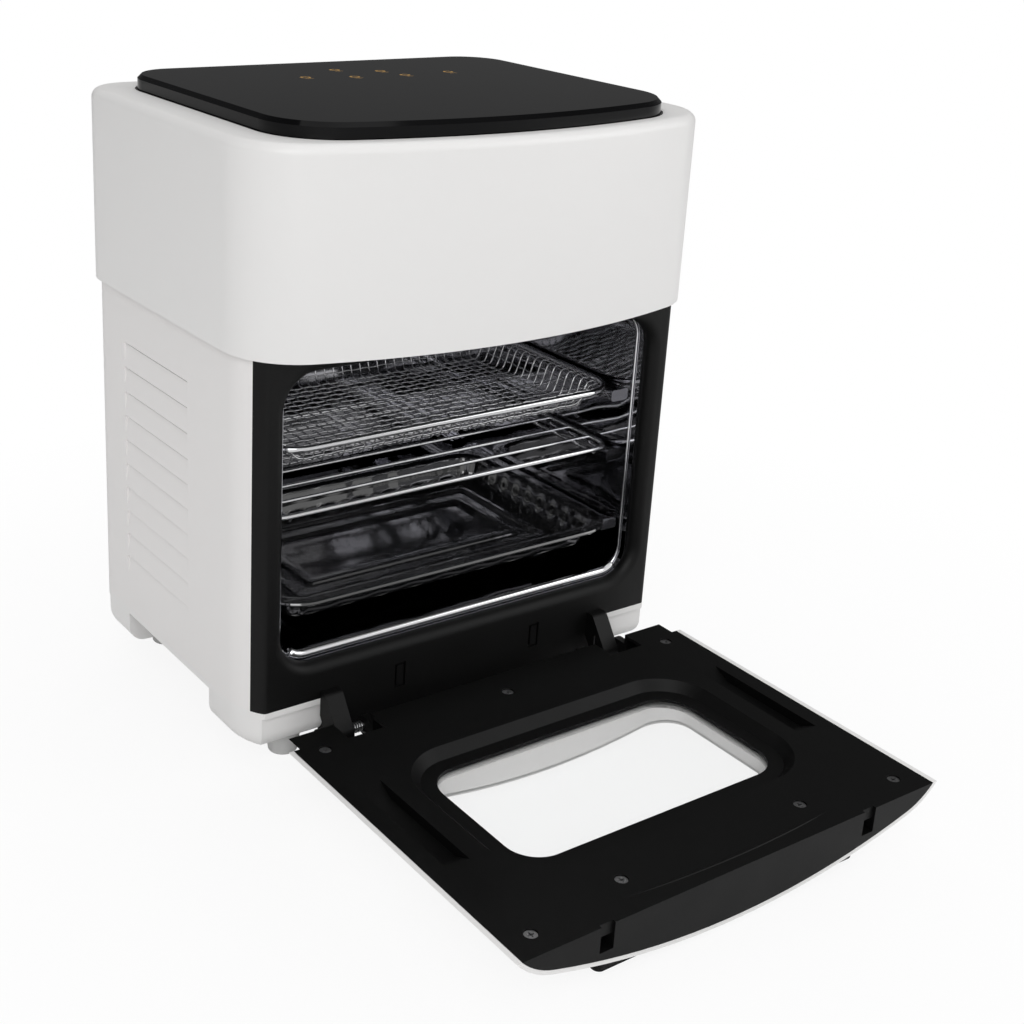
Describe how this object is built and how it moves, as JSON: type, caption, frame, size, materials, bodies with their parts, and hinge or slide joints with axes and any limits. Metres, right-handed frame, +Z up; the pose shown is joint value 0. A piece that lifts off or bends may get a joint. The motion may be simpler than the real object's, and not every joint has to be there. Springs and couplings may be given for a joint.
{
  "type": "air fryer oven",
  "caption": "Countertop air fryer oven with a bowed white head, black touch top, steel cavity with mesh basket, wire rack and drip tray, and a drop-down window door.",
  "frame": {"origin": "on the worktop under the four feet, on the middle plane, in line with the front face of the black frame", "axes": "+Z up, -Y out of the front where the door opens, +X to the right of someone facing the back, which is the viewer's right in front of the oven; the door is shown open"},
  "size_m": [0.327, 0.479, 0.391],
  "materials": {
    "white_plastic": "satin",
    "white_painted_steel": "satin",
    "light_grey_plastic": "matte",
    "black_plastic": "fine texture",
    "black_gloss": "polished",
    "clear_glass": "polished",
    "dark_steel": "polished",
    "steel": "satin",
    "chrome_wire": "polished",
    "dark_enamel": "gloss",
    "aluminium_sheet": "satin",
    "motor_steel": "satin",
    "rubber": "matte",
    "board": "satin",
    "ceramic": "matte"
  },
  "bodies": {
    "oven": {"front_frame": "black_plastic", "left_side_panel": "white_painted_steel", "right_side_panel": "white_painted_steel", "rear_panel": "white_painted_steel", "rear_screws": "steel", "cord_gland": "rubber", "base_tray": "white_plastic", "foot_front_left": "light_grey_plastic", "foot_front_right": "light_grey_plastic", "foot_rear_left": "light_grey_plastic", "foot_rear_right": "light_grey_plastic", "cavity_liner": "dark_steel", "liner_support_front": "steel", "liner_support_rear": "steel", "base_screws": "steel", "rear_stay": "steel", "lamp_lens": "clear_glass", "lamp_holder": "ceramic", "lamp_bulb": "clear_glass", "fan_guard": "dark_steel", "heating_element": "steel", "heat_pan": "steel", "pan_screws": "steel", "element_clips": "steel", "motor_bracket": "steel", "fan_motor": "motor_steel", "thermal_cutout": "ceramic", "head_shell": "white_plastic", "panel_carrier": "black_plastic", "touch_panel": "black_gloss", "control_board": "board", "board_posts": "steel", "power_board": "board", "power_posts": "steel", "catch_housing_left": "black_plastic", "catch_housing_right": "black_plastic", "catch_spring_left": "steel", "catch_spring_right": "steel", "hinge_arm_left": "black_plastic", "hinge_arm_right": "black_plastic", "hinge_pin_left": "steel", "hinge_pin_right": "steel", "hinge_spring_left": "steel", "hinge_spring_right": "steel"},
    "door": {"door_shell": "white_plastic", "door_liner": "black_plastic", "inner_glass": "clear_glass", "outer_glass": "clear_glass", "door_handle": "black_plastic", "handle_screws": "steel", "door_screws": "steel"},
    "fan": {"hot_air_fan": "aluminium_sheet", "motor_shaft": "steel", "cooling_fan": "aluminium_sheet"},
    "mesh_tray": {"mesh_rim": "chrome_wire", "mesh_basket": "chrome_wire"},
    "rack": {"wire_rack": "chrome_wire"},
    "drip_pan": {"drip_tray": "dark_enamel"},
    "catch_left": {"catch_tongue_left": "black_plastic"},
    "catch_right": {"catch_tongue_right": "black_plastic"}
  },
  "joints": [
    {"name": "door_hinge", "type": "hinge", "parent": "oven", "child": "door", "pos_m": [0, -0.0135, 0.0235], "axis": [1, 0, 0], "range_deg": [-90, 0]},
    {"name": "fan_spin", "type": "hinge", "parent": "oven", "child": "fan", "pos_m": [0, 0.102, 0.3], "axis": [0, 0, 1], "continuous": true},
    {"name": "mesh_tray_slide", "type": "slide", "parent": "oven", "child": "mesh_tray", "axis": [0, -1, 0], "range_m": [0, 0.15]},
    {"name": "rack_slide", "type": "slide", "parent": "oven", "child": "rack", "axis": [0, -1, 0], "range_m": [0, 0.15]},
    {"name": "drip_tray_slide", "type": "slide", "parent": "oven", "child": "drip_pan", "axis": [0, -1, 0], "range_m": [0, 0.15]},
    {"name": "left_catch_slide", "type": "slide", "parent": "oven", "child": "catch_left", "axis": [0, 0, 1], "range_m": [0, 0.003], "stiffness_N_per_m": 300, "springref_m": -0.003, "deforming": ["catch_spring_left"]},
    {"name": "right_catch_slide", "type": "slide", "parent": "oven", "child": "catch_right", "axis": [0, 0, 1], "range_m": [0, 0.003], "stiffness_N_per_m": 300, "springref_m": -0.003, "deforming": ["catch_spring_right"]}
  ]
}
